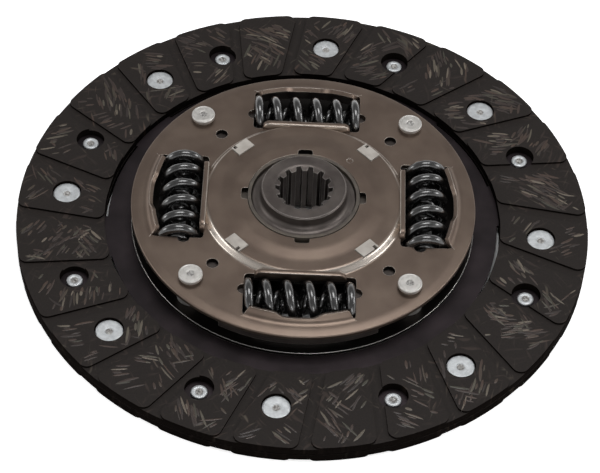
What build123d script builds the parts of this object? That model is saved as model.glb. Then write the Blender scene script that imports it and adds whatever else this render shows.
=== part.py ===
from build123d import *
import os
from math import atan, cos, degrees, pi, radians, sin, sqrt, tan

# Dry clutch disc, 200 mm across, with a four-spring torsion damper.
# The disc's axis is Z. The rear friction face lies at Z = 0 and the hub's
# longer end points up. The spring windows lie on the X and Y axes.
# All lengths are in millimetres and all angles in degrees.

# Friction facings
facing_outer_radius = 100.0
facing_inner_radius = 69.3
facing_thickness = 3.2
groove_count = 24
groove_width = 4.0
groove_depth = 0.8
groove_skew = 12.5
groove_mid_radius = 84.0
groove_phase = 3.9
pad_corner_radius = 3.0

# Facing rivets: eight hold each facing, and both sets share one circle
facing_rivet_count = 8
facing_rivet_circle = 83.6
front_rivet_phase = -4.2
rear_rivet_phase = 22.7
rivet_shank_radius = 2.3
rivet_hole_clearance = 0.05
rivet_head_radius = 4.75
rivet_head_height = 0.9
rivet_head_depth = 0.9
rivet_tail_radius = 2.85
rivet_tail_height = 1.2
counterbore_radius = 5.0
rivet_dimple_radius = 1.1
rivet_dimple_depth = 0.35

# Cushion disc: one spring steel sheet with eight paddles between the facings
cushion_thickness = 0.7
cushion_body_radius = 68.3
cushion_neck_half_angle = 7.75
paddle_inner_radius = 72.5
paddle_outer_radius = 96.5
paddle_half_angle = 18.4
paddle_corner_radius = 3.0
cushion_bore_radius = 46.0
cushion_window_margin = 1.6

# Damper springs, wound right-handed, with a thinner left-handed one inside each
window_count = 4
spring_circle = 42.7
spring_outer_radius = 7.9
spring_wire_radius = 1.6
spring_length = 37.8
spring_turns = 6.0
spring_ground_depth = 0.5
inner_spring_outer_radius = 4.1
inner_spring_wire_radius = 0.95
inner_spring_turns = 8.0
inner_spring_ground_depth = 0.3
coil_closing_turns = 1.1
coil_spans_per_turn = 3
spring_end_clearance = 0.1
spring_side_clearance = 0.4

# Sheet steel plates that hold the springs
plate_radius = 60.0
cover_thickness = 1.6
rear_plate_thickness = 1.4
plate_gap = 7.6
plate_bore_radius = 19.6
cover_rim_start_radius = 57.0
cover_rim_drop = 0.45
cover_rim_round = 0.5
dish_height = 2.1
dish_flat_base = 35.5
dish_window_base = 34.9
dish_run = 1.2
dish_corner_radius = 4.0
dish_edge_round = 1.0
crown_radius = 28.4
crown_height = 0.6
crown_run = 0.8
window_relief_radius = 2.1
window_relief_circle = 40.6
window_inner_edge = 33.8
window_outer_radius = 54.9
window_corner_radius = 1.6
inner_lip_half_length = 16.0
inner_lip_flat_half_length = 12.0
inner_lip_edge_angle = 135.0
outer_lip_base_radius = 55.0
outer_lip_half_length = 16.4
outer_lip_flat_half_length = 13.5
outer_lip_bend_radius = 1.0
outer_lip_bend_angle = 60.0
outer_lip_straight = 1.4
rear_lip_half_length = 14.5
rear_lip_sweep = 20.0
rear_window_corner_radius = 1.5
vent_hole_circle = 42.5
vent_hole_radius = 2.2
bore_notch_half_width = 2.6
bore_notch_radius = 21.7
dimple_circle = 23.5
dimple_angle = 48.0
dimple_radius = 1.1
dimple_depth = 0.4

# Stop pins that rivet the two plates and the cushion disc together
pin_circle = 52.36
pin_phase = 45.0
pin_shank_radius = 4.75
pin_neck_radius = 3.0
pin_neck_clearance = 0.05
pin_head_radius = 4.15
pin_head_foot_radius = 3.5
pin_head_height = 2.1
pin_head_chamfer = 0.5
pin_tail_height = 1.6
pin_mark_radius = 0.9
pin_mark_depth = 0.3

# Hub, forged in one piece with its flange
hub_length = 21.2
hub_rear_z = 0.6
hub_barrel_radius = 14.8
hub_edge_chamfer = 0.4
hub_shoulder_radius = 18.2
hub_shoulder_front_z = 16.4
hub_shoulder_rear_z = 3.1
hub_front_fillet = 2.4
hub_rear_fillet = 0.8
hub_shoulder_round = 0.6
spline_tooth_count = 14
spline_major_radius = 10.0
spline_minor_radius = 8.6
spline_space_outer_width = 1.7
spline_space_inner_width = 2.4
bore_chamfer_radius = 10.8
bore_chamfer_depth = 1.2
flange_thickness = 3.6
flange_clearance = 0.3
flange_radius = 59.0
flange_lobe_half_angle = 27.0
flange_window_inner_edge = 32.2
flange_window_outer_radius = 54.7
flange_corner_radius = 1.5
damper_travel = 8.0
stop_clearance = 0.35

# Friction washers that damp the hub's turning
bush_clearance = 0.1
bush_outer_radius = 19.4
friction_gap = 0.1
friction_washer_radius = 30.4
front_bush_top_z = 17.4
front_washer_thickness = 2.1
lug_inner_radius = 29.3
lug_outer_radius = 33.6
lug_width = 7.0
lug_top_z = 17.0
lug_slot_clearance = 0.15
lug_notch_width = 1.2
lug_notch_depth = 1.4
rear_washer_thickness = 1.6
rear_bush_bottom_z = 3.5
washer_bore_radius = 19.7
disc_spring_thickness = 0.7
disc_spring_inner_radius = 20.2
disc_spring_outer_radius = 29.4
support_washer_thickness = 0.8

# Heights that follow from the stack
cushion_z = facing_thickness
front_facing_z = cushion_z + cushion_thickness
front_face_z = front_facing_z + facing_thickness
mid_plane_z = front_face_z / 2
rear_plate_z = front_facing_z
rear_plate_top_z = rear_plate_z + rear_plate_thickness
cover_z = rear_plate_top_z + plate_gap
cover_top_z = cover_z + cover_thickness
dish_top_z = cover_top_z + dish_height
flange_top_z = cover_z - flange_clearance
flange_z = flange_top_z - flange_thickness
spring_z = flange_z + flange_thickness / 2
hub_top_z = hub_rear_z + hub_length
neck_phase = (front_rivet_phase + rear_rivet_phase) / 2
window_half_width = spring_length / 2 + spring_end_clearance
lip_inner_radius = spring_outer_radius + spring_side_clearance


def turned(shape, angle):
    """The shape turned about the disc's axis."""
    return Rot(0, 0, angle) * shape


def around(shape, count, phase=0.0):
    """Evenly spaced copies of the shape about the disc's axis."""
    return [turned(shape, phase + 360.0 * k / count) for k in range(count)]


def disc(radius, low, high):
    """A round solid on the disc's axis between two heights."""
    return Pos(0, 0, low) * extrude(Circle(radius), amount=high - low)


def ring(outer, inner, low, high):
    """A flat ring on the disc's axis between two heights."""
    return Pos(0, 0, low) * extrude(Circle(outer) - Circle(inner), amount=high - low)


def wedge(half_angle, reach):
    """A flat triangle from the centre, centred on the X axis."""
    far = (reach * cos(radians(half_angle)), reach * sin(radians(half_angle)))
    return make_face(Polyline((0, 0), (far[0], -far[1]), far, close=True))


def section_revolved(points):
    """A solid of revolution whose section is a closed outline of radius and height."""
    outline = make_face(Polyline(*points, close=True))
    return revolve(Plane.XZ * outline, Axis.Z)


def window_outline(half_width, inner_edge, outer_radius, corner):
    """A window on the X axis with straight sides and inner edge, and an outer arc."""
    middle = (inner_edge + outer_radius + 5) / 2
    strip = Pos(middle, 0) * Rectangle(outer_radius + 5 - inner_edge, 2 * half_width)
    opening = strip & Circle(outer_radius)
    return fillet(opening.vertices(), corner)


def groove_strips(clear_width):
    """The skewed strips that the grooves take out of a facing's face."""
    length = 3 * (facing_outer_radius - facing_inner_radius)
    strip = Pos(groove_mid_radius, 0) * Rot(0, 0, -groove_skew) * Rectangle(length, clear_width)
    return around(strip, groove_count, groove_phase)


def facing_pad():
    """The flat outline of one raised pad between two grooves, with rounded corners."""
    band = Circle(facing_outer_radius) - Circle(facing_inner_radius)
    pads = band - groove_strips(groove_width)
    first = pads.faces().sort_by(lambda face: abs(face.center().Y) - face.center().X)[0]
    return first.fillet_2d(pad_corner_radius, first.vertices())


def facing():
    """The front facing: ground pads on a ring, with rivet seats and access holes."""
    low = front_face_z - groove_depth
    body = ring(facing_outer_radius, facing_inner_radius, front_facing_z, low)
    pad = Pos(0, 0, low) * extrude(facing_pad(), amount=groove_depth)
    body += around(pad, groove_count)
    seat = disc(counterbore_radius, front_face_z - rivet_head_depth - rivet_head_height, front_face_z)
    hole_radius = rivet_shank_radius + rivet_hole_clearance
    shank_hole = disc(hole_radius, front_facing_z, front_face_z)
    access = disc(counterbore_radius, front_facing_z, front_face_z)
    at_rivet = Pos(facing_rivet_circle, 0, 0)
    body -= around(at_rivet * (seat + shank_hole), facing_rivet_count, front_rivet_phase)
    body -= around(at_rivet * access, facing_rivet_count, rear_rivet_phase)
    return body


def turned_over(shape):
    """The shape turned over about the line through a neck of the cushion disc."""
    centre = Pos(0, 0, mid_plane_z)
    about_x = centre * Rot(180, 0, 0) * centre.inverse()
    return turned(about_x * turned(shape, -neck_phase), neck_phase)


def facing_rivet():
    """One rivet of the front facing, on the X axis: flat head, shank and rolled tail."""
    head_top = front_face_z - rivet_head_depth
    head_low = head_top - rivet_head_height
    tail_low = cushion_z - rivet_tail_height
    dimple = head_top - rivet_dimple_depth
    tail_inner = rivet_tail_radius - 1.6
    section = [
        (0, tail_low + 0.7),
        (tail_inner - 0.35, tail_low + 0.7),
        (tail_inner, tail_low + 0.15),
        (tail_inner + 0.5, tail_low),
        (rivet_tail_radius - 0.4, tail_low + 0.1),
        (rivet_tail_radius, tail_low + 0.55),
        (rivet_tail_radius, cushion_z - 0.15),
        (rivet_tail_radius - 0.15, cushion_z),
        (rivet_shank_radius, cushion_z),
        (rivet_shank_radius, head_low),
        (rivet_head_radius - 0.15, head_low),
        (rivet_head_radius, head_low + 0.2),
        (rivet_head_radius, head_top - 0.25),
        (rivet_head_radius - 0.3, head_top),
        (rivet_dimple_radius, head_top),
        (rivet_dimple_radius * 0.6, dimple),
        (0, dimple),
    ]
    return Pos(facing_rivet_circle, 0, 0) * section_revolved(section)


def cushion_disc():
    """The spring steel carrier: a body, eight necks, and a paddle on each neck."""
    paddle = (Circle(paddle_outer_radius) - Circle(paddle_inner_radius)) & wedge(paddle_half_angle, 130)
    paddle = fillet(paddle.vertices(), paddle_corner_radius)
    neck = (Circle(paddle_inner_radius + 2) - Circle(cushion_body_radius - 2))
    neck = neck & wedge(cushion_neck_half_angle, 130)
    outline = Circle(cushion_body_radius) - Circle(cushion_bore_radius)
    outline += around(paddle + neck, facing_rivet_count, neck_phase)
    margin = cushion_window_margin
    window = window_outline(
        window_half_width + margin,
        window_inner_edge,
        spring_circle + spring_outer_radius + 2 * margin,
        2.0,
    )
    outline -= around(window, window_count)
    pin_hole = Pos(pin_circle, 0) * Circle(pin_neck_radius + pin_neck_clearance)
    outline -= around(pin_hole, window_count, pin_phase)
    rivet_hole = Pos(facing_rivet_circle, 0) * Circle(rivet_shank_radius + rivet_hole_clearance)
    outline -= around(rivet_hole, facing_rivet_count, front_rivet_phase)
    outline -= around(rivet_hole, facing_rivet_count, rear_rivet_phase)
    return Pos(0, 0, cushion_z) * extrude(outline, amount=cushion_thickness)


def dish_outline(inset):
    """The dish seen from above: an octagon with rounded corners."""
    across = 2 * (dish_window_base - inset)
    corner_to_corner = 2 * (dish_flat_base - inset)
    outline = Rectangle(across, across) & Rot(0, 0, 45) * Rectangle(corner_to_corner, corner_to_corner)
    return fillet(outline.vertices(), dish_corner_radius)


def lip_shoulders(half_length, flat_half_length, low, high):
    """A block across a window on the X axis whose top falls away in rounded shoulders."""
    drop = half_length - flat_half_length
    outline = make_face(
        Polyline(
            (-half_length, low),
            (half_length, low),
            (half_length, high - drop),
            (flat_half_length, high),
            (-flat_half_length, high),
            (-half_length, high - drop),
            close=True,
        )
    )
    outline = fillet(outline.vertices().sort_by(Axis.Y)[4:], drop * 0.8)
    return Pos(spring_circle, 0, 0) * extrude(Plane.YZ * outline, amount=20, both=True)


def spring_band(first_angle, last_angle, thickness, half_length):
    """A curled strip round a spring on the X side, between two angles about its axis."""
    mean = (first_angle + last_angle) / 2
    half = abs(last_angle - first_angle) / 2
    outer = lip_inner_radius + thickness
    flat = (Circle(outer) - Circle(lip_inner_radius)) & turned(wedge(half, 3 * outer), mean)
    strip = extrude(Plane.XZ * flat, amount=half_length, both=True)
    return Pos(spring_circle, 0, spring_z) * strip


def spring_space(half_length):
    """The room that a spring on the X side needs."""
    core = extrude(Plane.XZ * Circle(lip_inner_radius), amount=half_length, both=True)
    return Pos(spring_circle, 0, spring_z) * core


def outer_lip():
    """The cover's curled lip on a window's outer edge, on the X side."""
    base = outer_lip_base_radius
    inner = outer_lip_bend_radius
    outer = inner + cover_thickness
    centre_z = cover_top_z + inner
    angle = radians(outer_lip_bend_angle)
    half = angle / 2
    run = (-cos(angle) * outer_lip_straight, sin(angle) * outer_lip_straight)

    def on_bend(radius, turn):
        return (base - radius * sin(turn), centre_z - radius * cos(turn))

    top_end = on_bend(inner, angle)
    low_end = on_bend(outer, angle)
    top_tip = (top_end[0] + run[0], top_end[1] + run[1])
    low_tip = (low_end[0] + run[0], low_end[1] + run[1])
    root = base + 0.6
    edges = [
        Line((root, cover_z), (root, cover_top_z)),
        Line((root, cover_top_z), (base, cover_top_z)),
        ThreePointArc((base, cover_top_z), on_bend(inner, half), top_end),
        Line(top_end, top_tip),
        Line(top_tip, low_tip),
        Line(low_tip, low_end),
        ThreePointArc(low_end, on_bend(outer, half), (base, cover_z)),
        Line((base, cover_z), (root, cover_z)),
    ]
    section = Plane.XZ * make_face(Wire(edges))
    reach = degrees(outer_lip_half_length / outer_lip_base_radius) * 1.2
    lip = revolve(turned(section, -reach), Axis.Z, revolution_arc=2 * reach)
    tip = max(top_tip[1], low_tip[1])
    return lip & lip_shoulders(outer_lip_half_length, outer_lip_flat_half_length, cover_z, tip)


def cover_blank():
    """The cover before its windows: flat ring with a rolled rim, octagonal dish and crown."""
    drop = cover_rim_drop
    rim = cover_rim_start_radius
    middle = (rim + plate_radius) / 2
    edges = [
        Line((0, cover_z), (rim, cover_z)),
        ThreePointArc((rim, cover_z), (middle, cover_z - drop / 4), (plate_radius, cover_z - drop)),
        Line((plate_radius, cover_z - drop), (plate_radius, cover_top_z - drop)),
        ThreePointArc(
            (plate_radius, cover_top_z - drop), (middle, cover_top_z - drop / 4), (rim, cover_top_z)
        ),
        Line((rim, cover_top_z), (0, cover_top_z)),
        Line((0, cover_top_z), (0, cover_z)),
    ]
    flat = revolve(Plane.XZ * make_face(Wire(edges)), Axis.Z)
    rim_edge = flat.edges().filter_by(GeomType.CIRCLE).sort_by(lambda edge: edge.center().Z)
    rim_edge = [edge for edge in rim_edge if edge.radius > plate_radius - 0.01][-1]
    flat = fillet(rim_edge, cover_rim_round)
    taper = degrees(atan(dish_run / dish_height))
    dish = Pos(0, 0, cover_top_z) * extrude(dish_outline(0), amount=dish_height, taper=taper)
    dish = fillet(dish.edges().group_by(Axis.Z)[-1], dish_edge_round)
    crown = [
        (0, dish_top_z - 0.1),
        (crown_radius, dish_top_z - 0.1),
        (crown_radius, dish_top_z),
        (crown_radius - crown_run, dish_top_z + crown_height),
        (0, dish_top_z + crown_height),
    ]
    blank = flat + dish + section_revolved(crown)
    inset = cover_thickness / cos(radians(taper)) - cover_thickness * tan(radians(taper))
    pocket = Pos(0, 0, cover_z) * extrude(dish_outline(inset), amount=dish_height, taper=taper)
    crown_space = disc(crown_radius - crown_run, cover_z, cover_z + dish_height + crown_height)
    return blank - pocket - crown_space


def front_cover():
    """The upper spring plate, with lipped windows, lug slots, holes and a notched bore."""
    cover = cover_blank()
    above = dish_top_z + 5
    window = window_outline(
        window_half_width, window_inner_edge, window_outer_radius, window_corner_radius
    )
    relief = Pos(window_relief_circle, window_half_width) * Circle(window_relief_radius)
    window = window + relief + mirror(relief, Plane.XZ)
    cover -= around(Pos(0, 0, cover_z - 1) * extrude(window, amount=above), window_count)
    inner_lip = spring_band(
        inner_lip_edge_angle, 180, cover_thickness, inner_lip_half_length
    )
    lip_top = spring_z + (lip_inner_radius + cover_thickness) * sin(radians(inner_lip_edge_angle))
    inner_lip = inner_lip & lip_shoulders(
        inner_lip_half_length, inner_lip_flat_half_length, cover_z, lip_top
    )
    cover += around(inner_lip, window_count)
    cover += around(outer_lip(), window_count)
    cover -= around(spring_space(window_half_width), window_count)
    bore = disc(plate_bore_radius, cover_z, above)
    notch = Pos(bore_notch_radius / 2, 0, cover_z) * extrude(
        fillet(Rectangle(bore_notch_radius, 2 * bore_notch_half_width).vertices(), 1.2), amount=above
    )
    cover -= bore
    cover -= around(notch, window_count)
    vent = Pos(vent_hole_circle, 0, 0) * disc(vent_hole_radius, cover_z - 1, above)
    pin_hole = Pos(pin_circle, 0, 0) * disc(pin_neck_radius + pin_neck_clearance, cover_z - 1, above)
    cover -= around(vent, window_count, pin_phase)
    cover -= around(pin_hole, window_count, pin_phase)
    lug_slot = Pos((lug_inner_radius + lug_outer_radius) / 2, 0, cover_z) * extrude(
        Rectangle(
            lug_outer_radius - lug_inner_radius + 2 * lug_slot_clearance,
            lug_width + 2 * lug_slot_clearance,
        ),
        amount=above,
    )
    cover -= around(lug_slot, window_count, pin_phase)
    dimple_top = dish_top_z + crown_height
    dimple = Pos(dimple_circle, 0, 0) * disc(dimple_radius, dimple_top - dimple_depth, dimple_top + 1)
    cover -= turned(dimple, dimple_angle)
    return cover


def rear_plate():
    """The lower spring plate: flat, with windows whose long edges curl round the springs."""
    plate = disc(plate_radius, rear_plate_z, rear_plate_top_z)
    depth = spring_z - rear_plate_top_z
    half_opening = sqrt(lip_inner_radius**2 - depth**2) + rear_plate_thickness / 2
    opening = Pos(spring_circle, 0) * Rectangle(2 * half_opening, 2 * window_half_width)
    opening = fillet(opening.vertices(), rear_window_corner_radius)
    plate -= around(Pos(0, 0, rear_plate_z - 1) * extrude(opening, amount=5), window_count)
    start = degrees(atan(depth / sqrt(lip_inner_radius**2 - depth**2)))
    inner = spring_band(180 + start, 180 + start + rear_lip_sweep, rear_plate_thickness, rear_lip_half_length)
    outer = spring_band(-start - rear_lip_sweep, -start, rear_plate_thickness, rear_lip_half_length)
    plate += around(inner, window_count)
    plate += around(outer, window_count)
    plate -= around(spring_space(window_half_width), window_count)
    plate -= disc(plate_bore_radius, rear_plate_z, rear_plate_top_z)
    hole_low = rear_plate_z - 1
    pin_hole = Pos(pin_circle, 0, 0) * disc(pin_neck_radius + pin_neck_clearance, hole_low, cover_z)
    vent = Pos(vent_hole_circle, 0, 0) * disc(vent_hole_radius, hole_low, cover_z)
    plate -= around(pin_hole, window_count, pin_phase)
    plate -= around(vent, window_count, pin_phase)
    return plate


def stop_pin():
    """One stop pin on the X axis: shank between the plates, necks and riveted heads."""
    neck = pin_neck_radius
    top = cover_top_z + pin_head_height
    tail = cushion_z - pin_tail_height
    section = [
        (0, tail),
        (pin_head_radius - pin_head_chamfer, tail),
        (pin_head_radius, tail + pin_head_chamfer),
        (pin_head_radius, cushion_z - 0.4),
        (pin_head_radius - 0.3, cushion_z),
        (neck, cushion_z),
        (neck, rear_plate_top_z),
        (pin_shank_radius, rear_plate_top_z),
        (pin_shank_radius, cover_z),
        (neck, cover_z),
        (neck, cover_top_z),
        (pin_head_foot_radius, cover_top_z),
        (pin_head_radius, cover_top_z + pin_head_height / 2),
        (pin_head_radius, top - pin_head_chamfer),
        (pin_head_radius - pin_head_chamfer, top),
        (pin_mark_radius, top),
        (pin_mark_radius / 2, top - pin_mark_depth),
        (0, top - pin_mark_depth),
    ]
    return Pos(pin_circle, 0, 0) * section_revolved(section)


def hub_section():
    """The hub's outline of radius and height, without the bore and the flange."""
    chamfer = hub_edge_chamfer
    barrel = hub_barrel_radius
    shoulder = hub_shoulder_radius
    rounding = hub_shoulder_round
    slant = 1 - cos(radians(45))

    def inner_corner(radius, level, up):
        start = (barrel, level + up * radius)
        middle = (barrel + radius * slant, level + up * radius * slant)
        return ThreePointArc(start, middle, (barrel + radius, level))

    def outer_corner(level, up):
        start = (shoulder - rounding, level)
        middle = (shoulder - rounding * slant, level + up * rounding * slant)
        return ThreePointArc(start, middle, (shoulder, level + up * rounding))

    front = hub_shoulder_front_z
    rear = hub_shoulder_rear_z
    bore = spline_minor_radius - 1
    edges = [
        Line((bore, hub_rear_z), (barrel - chamfer, hub_rear_z)),
        Line((barrel - chamfer, hub_rear_z), (barrel, hub_rear_z + chamfer)),
        Line((barrel, hub_rear_z + chamfer), (barrel, rear - hub_rear_fillet)),
        inner_corner(hub_rear_fillet, rear, -1),
        Line((barrel + hub_rear_fillet, rear), (shoulder - rounding, rear)),
        outer_corner(rear, 1),
        Line((shoulder, rear + rounding), (shoulder, front - rounding)),
        outer_corner(front, -1),
        Line((shoulder - rounding, front), (barrel + hub_front_fillet, front)),
        inner_corner(hub_front_fillet, front, 1),
        Line((barrel, front + hub_front_fillet), (barrel, hub_top_z - chamfer)),
        Line((barrel, hub_top_z - chamfer), (barrel - chamfer, hub_top_z)),
        Line((barrel - chamfer, hub_top_z), (bore, hub_top_z)),
        Line((bore, hub_top_z), (bore, hub_rear_z)),
    ]
    return make_face(Wire(edges))


def spline_bore():
    """The room inside the hub: a bore with tooth spaces and a chamfer at each end."""
    outer = spline_space_outer_width / 2
    inner = spline_space_inner_width / 2
    inside = spline_minor_radius - 0.6
    space = make_face(
        Polyline(
            (inside, -inner),
            (spline_major_radius, -outer),
            (spline_major_radius, outer),
            (inside, inner),
            close=True,
        )
    )
    outline = Circle(spline_minor_radius) + around(space, spline_tooth_count)
    bore = Pos(0, 0, hub_rear_z - 1) * extrude(outline, amount=hub_length + 2)
    small = spline_minor_radius - 1.0
    slope = bore_chamfer_depth / (bore_chamfer_radius - spline_minor_radius)
    depth = slope * (bore_chamfer_radius - small)
    mouth = section_revolved([(0, hub_top_z), (bore_chamfer_radius, hub_top_z), (small, hub_top_z - depth), (0, hub_top_z - depth)])
    foot = section_revolved([(0, hub_rear_z), (bore_chamfer_radius, hub_rear_z), (small, hub_rear_z + depth), (0, hub_rear_z + depth)])
    return bore + mouth + foot


def hub_flange_outline():
    """The flange from above: four lobes with spring windows, and a gap for each stop pin."""
    pin_angle = degrees(pin_shank_radius / pin_circle)
    clear_angle = pin_angle + damper_travel + degrees(stop_clearance / pin_circle)
    root = pin_circle - pin_shank_radius - 2 * stop_clearance
    outer_half = 180 / window_count - flange_lobe_half_angle
    reach = flange_radius * 1.2
    low = (root * cos(radians(clear_angle)), root * sin(radians(clear_angle)))
    mid = (pin_circle * cos(radians(clear_angle)), pin_circle * sin(radians(clear_angle)))
    edge = (flange_radius * cos(radians(outer_half)), flange_radius * sin(radians(outer_half)))
    gap = make_face(
        Polyline(
            (low[0], -low[1]),
            (mid[0], -mid[1]),
            (edge[0], -edge[1]),
            (reach, -edge[1]),
            (reach, edge[1]),
            edge,
            mid,
            low,
            close=True,
        )
    )
    bottom = gap.vertices().sort_by(Axis.X)[:2]
    gap = fillet(bottom, flange_corner_radius)
    window = window_outline(
        window_half_width, flange_window_inner_edge, flange_window_outer_radius, flange_corner_radius
    )
    outline = Circle(flange_radius) - Circle(spline_minor_radius)
    outline -= around(window, window_count)
    outline -= around(gap, window_count, pin_phase)
    return outline


def hub():
    """The splined hub with its flange."""
    body = revolve(Plane.XZ * hub_section(), Axis.Z)
    body += Pos(0, 0, flange_z) * extrude(hub_flange_outline(), amount=flange_thickness)
    return body - spline_bore()


def ramp_rise(turn, ramp, pitch):
    """How far a coil rises in its first turns, while its pitch grows smoothly from nothing."""
    share = min(turn / ramp, 1.0)
    return pitch * (ramp * (share**3 - share**4 / 2) + max(turn - ramp, 0.0))


def coil_point(turn, turns, radius, travel, hand):
    """A point of a coil's centre line along Y after some turns, and its direction there."""
    ramp = coil_closing_turns
    pitch = travel / (turns - ramp)
    from_end = min(turn, turns - turn)
    share = min(from_end / ramp, 1.0)
    pitch_here = pitch * (3 * share**2 - 2 * share**3)
    rise = ramp_rise(from_end, ramp, pitch)
    along = rise - travel / 2 if turn < turns / 2 else travel / 2 - rise
    turning = -hand * 2 * pi
    angle = turning * turn - pi / 2
    position = Vector(radius * cos(angle), along, radius * sin(angle))
    tangent = Vector(
        -turning * radius * sin(angle), pitch_here, turning * radius * cos(angle)
    )
    return position, tangent.normalized()


def biarc(start, start_direction, end, end_direction):
    """Two arcs that join two points and take up the direction at each."""
    chord = end - start
    both = start_direction + end_direction
    a = 2 * (1 - start_direction.dot(end_direction))
    b = 2 * chord.dot(both)
    c = chord.dot(chord)
    reach = (-b + sqrt(b * b + 4 * a * c)) / (2 * a)
    first_corner = start + start_direction * reach
    last_corner = end - end_direction * reach
    joint = (first_corner + last_corner) / 2
    direction = (last_corner - first_corner).normalized()
    return [
        TangentArc(start, joint, tangent=start_direction),
        TangentArc(joint, end, tangent=direction),
    ]


def coil(outer_radius, wire_radius, turns, ground_depth, hand):
    """A compression spring along Y, with closed end turns ground flat. Hand is 1 for right."""
    radius = outer_radius - wire_radius
    travel = spring_length - 2 * (wire_radius - ground_depth)
    spans = round(turns * coil_spans_per_turn)
    points = [coil_point(turns * k / spans, turns, radius, travel, hand) for k in range(spans + 1)]
    edges = []
    for (here, heading), (there, arriving) in zip(points, points[1:]):
        edges += biarc(here, heading, there, arriving)
    start, direction = points[0]
    profile = Plane(origin=start, z_dir=direction) * Circle(wire_radius)
    wire = sweep(profile, path=Wire(edges))
    room = Box(4 * outer_radius, spring_length, 4 * outer_radius)
    return Pos(spring_circle, 0, spring_z) * (wire & room)


def damper_spring():
    """An outer damper spring on the X axis."""
    return coil(spring_outer_radius, spring_wire_radius, spring_turns, spring_ground_depth, 1)


def inner_spring():
    """The thinner spring inside a damper spring, wound the other way."""
    return coil(
        inner_spring_outer_radius,
        inner_spring_wire_radius,
        inner_spring_turns,
        inner_spring_ground_depth,
        -1,
    )


def front_friction_ring():
    """The front washer and bush, with four lugs that stand in slots of the cover."""
    inner = hub_shoulder_radius + bush_clearance
    low = flange_top_z + friction_gap
    body = ring(friction_washer_radius, inner, low, low + front_washer_thickness)
    body += ring(bush_outer_radius, inner, low, front_bush_top_z)
    reach = lug_outer_radius - lug_inner_radius
    lug_outline = Rectangle(reach, lug_width)
    notch = Pos(reach / 2 - lug_notch_depth / 2, lug_width / 2 - lug_notch_width) * Rectangle(
        lug_notch_depth, lug_notch_width
    )
    lug_outline -= notch
    lug = Pos((lug_inner_radius + lug_outer_radius) / 2, 0, low) * extrude(
        lug_outline, amount=lug_top_z - low
    )
    web = Pos(lug_inner_radius, 0, low) * extrude(
        Rectangle(2 * (lug_inner_radius - 27), lug_width), amount=front_washer_thickness
    )
    body += around(lug + web, window_count, pin_phase)
    return body


def rear_friction_ring():
    """The rear washer and the bush that centres the rear plate on the hub."""
    inner = hub_shoulder_radius + bush_clearance
    top = flange_z - friction_gap
    body = ring(friction_washer_radius, inner, top - rear_washer_thickness, top)
    return body + ring(bush_outer_radius, inner, rear_bush_bottom_z, top)


def disc_spring():
    """The conical spring that presses the rear washer against the flange."""
    low = rear_plate_top_z + support_washer_thickness
    top = flange_z - friction_gap - rear_washer_thickness
    thick = disc_spring_thickness
    section = [
        (disc_spring_outer_radius, low),
        (disc_spring_outer_radius, low + thick),
        (disc_spring_inner_radius, top),
        (disc_spring_inner_radius, top - thick),
    ]
    return section_revolved(section)


def support_washer():
    """The flat washer that the conical spring stands on."""
    top = rear_plate_top_z + support_washer_thickness
    return ring(friction_washer_radius, washer_bore_radius, rear_plate_top_z, top)


def save(name, shape):
    """Writes one sub-part to its own file."""
    shape.label = name
    export_step(shape, f"parts/{name}.step")


os.makedirs("parts", exist_ok=True)
front_facing = facing()
rivet = facing_rivet()
save("front_facing", front_facing)
save("rear_facing", turned_over(front_facing))
save("cushion_disc", cushion_disc())
front_rivets = around(rivet, facing_rivet_count, front_rivet_phase)
save("front_facing_rivets", Compound(children=front_rivets))
rear_rivets = [turned_over(piece) for piece in around(rivet, facing_rivet_count, front_rivet_phase)]
save("rear_facing_rivets", Compound(children=rear_rivets))
save("front_cover", front_cover())
save("rear_plate", rear_plate())
save("hub", hub())
outer_coil = damper_spring()
inner_coil = inner_spring()
pin = stop_pin()
for place in range(window_count):
    quarter = 360.0 * place / window_count
    save(f"damper_spring_{place + 1}", turned(outer_coil, quarter))
    save(f"inner_spring_{place + 1}", turned(inner_coil, quarter))
    save(f"stop_pin_{place + 1}", turned(pin, quarter + pin_phase))
save("front_friction_ring", front_friction_ring())
save("rear_friction_ring", rear_friction_ring())
save("disc_spring", disc_spring())
save("support_washer", support_washer())
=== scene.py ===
# %% [markdown]
# # A sprung clutch disc
# The real object is a friction disc from a car's clutch. Two ground facings are riveted to a
# thin spring steel carrier, and a sprung damper in the middle carries the splined hub.
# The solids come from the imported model. This file adds the looks: wound coils, yarn in the
# facings, turned rivets, rounded sheet edges, and a finish for every surface.

# %% Load the frame
import math

import bmesh
import bpy
import numpy as np
from mathutils import Matrix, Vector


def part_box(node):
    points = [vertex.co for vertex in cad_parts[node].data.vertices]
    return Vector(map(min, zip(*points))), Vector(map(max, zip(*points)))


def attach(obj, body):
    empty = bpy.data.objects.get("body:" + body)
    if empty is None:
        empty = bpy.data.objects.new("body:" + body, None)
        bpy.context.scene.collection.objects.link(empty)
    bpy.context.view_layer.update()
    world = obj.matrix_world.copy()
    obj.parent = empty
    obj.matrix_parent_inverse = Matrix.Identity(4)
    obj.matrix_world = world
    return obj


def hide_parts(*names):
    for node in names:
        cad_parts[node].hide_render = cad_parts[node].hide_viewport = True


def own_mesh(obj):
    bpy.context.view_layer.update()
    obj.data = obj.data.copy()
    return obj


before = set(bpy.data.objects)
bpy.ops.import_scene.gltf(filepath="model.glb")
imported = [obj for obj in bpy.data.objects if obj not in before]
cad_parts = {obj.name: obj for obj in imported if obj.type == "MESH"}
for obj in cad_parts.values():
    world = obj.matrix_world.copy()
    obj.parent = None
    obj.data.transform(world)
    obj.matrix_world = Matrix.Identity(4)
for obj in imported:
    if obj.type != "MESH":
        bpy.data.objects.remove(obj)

MM = 0.001
scene = bpy.context.scene
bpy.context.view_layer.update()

# %% [markdown]
# ## Small tools
# Colours are written as the sRGB hex values a picture editor shows, and Blender's shaders
# want linear light, so one function turns one into the other. One more adds a node with its
# settings and links. It takes a number or another node for each socket, so a material reads
# as a list of formulas.

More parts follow.
